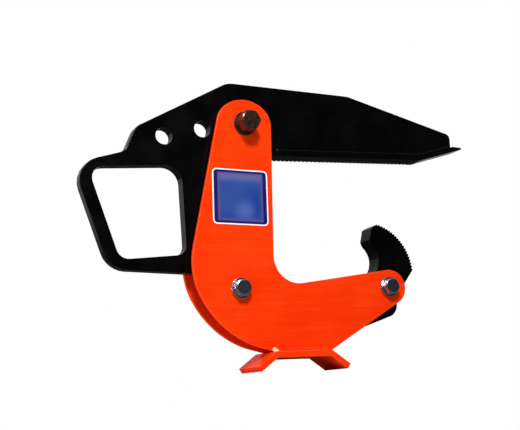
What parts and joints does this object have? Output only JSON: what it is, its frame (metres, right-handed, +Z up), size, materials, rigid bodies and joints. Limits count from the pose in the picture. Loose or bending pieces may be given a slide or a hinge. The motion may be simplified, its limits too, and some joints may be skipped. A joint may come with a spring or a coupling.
{
  "type": "beam clamp",
  "caption": "Beam clamp with a welded side-plate body on a splayed foot, a hand-grip jaw lever with a toothed strip, and a pivoting toothed claw.",
  "frame": {"origin": "On the ground under the body, at the middle of the overall length and width.", "axes": "+X runs along the jaw from the hand grip to the jaw tip, +Y goes away from the bolt heads towards the nuts, +Z is up."},
  "size_m": [0.4993, 0.0776, 0.3381],
  "materials": {
    "orange_paint": "glossy orange-red paint",
    "black_paint": "semi-gloss black paint",
    "zinc_steel": "bright zinc plate",
    "black_oxide": "oiled black oxide",
    "bronze": "plain bearing bronze",
    "sticker": "printed film, blank blue field in a white border"
  },
  "bodies": {
    "body_frame": {"front_side_plate": "orange_paint", "rear_side_plate": "orange_paint", "foot_plate": "orange_paint", "front_foot_weld": "orange_paint", "rear_foot_weld": "orange_paint", "side_label": "sticker", "pivot_bolt": "black_oxide", "pivot_head_washer": "black_oxide", "pivot_spring_washer": "black_oxide", "pivot_nut_washer": "black_oxide", "pivot_nut": "black_oxide", "stop_bolt": "zinc_steel", "stop_head_washer": "zinc_steel", "stop_nut_washer": "zinc_steel", "stop_nut": "zinc_steel", "stop_sleeve": "zinc_steel", "claw_bolt": "zinc_steel", "claw_head_washer": "zinc_steel", "claw_nut_washer": "zinc_steel", "claw_nut": "zinc_steel", "lever_thrust_washer_front": "bronze", "lever_thrust_washer_rear": "bronze", "claw_thrust_washer_front": "bronze", "claw_thrust_washer_rear": "bronze"},
    "jaw_lever": {"lever_plate": "black_paint", "jaw_strip": "black_paint", "front_strip_weld": "black_paint", "rear_strip_weld": "black_paint", "pivot_bush": "bronze"},
    "claw": {"toothed_claw": "black_paint", "claw_bush": "bronze"}
  },
  "joints": [
    {"name": "lever_pivot", "type": "hinge", "parent": "body_frame", "child": "jaw_lever", "pos_m": [-0.0563, 0, 0.2862], "axis": [0, 1, 0], "range_deg": [-12.5, 23]},
    {"name": "claw_pivot", "type": "hinge", "parent": "body_frame", "child": "claw", "pos_m": [0.1224, 0, 0.0952], "axis": [0, 1, 0], "range_deg": [-35, 10]}
  ]
}
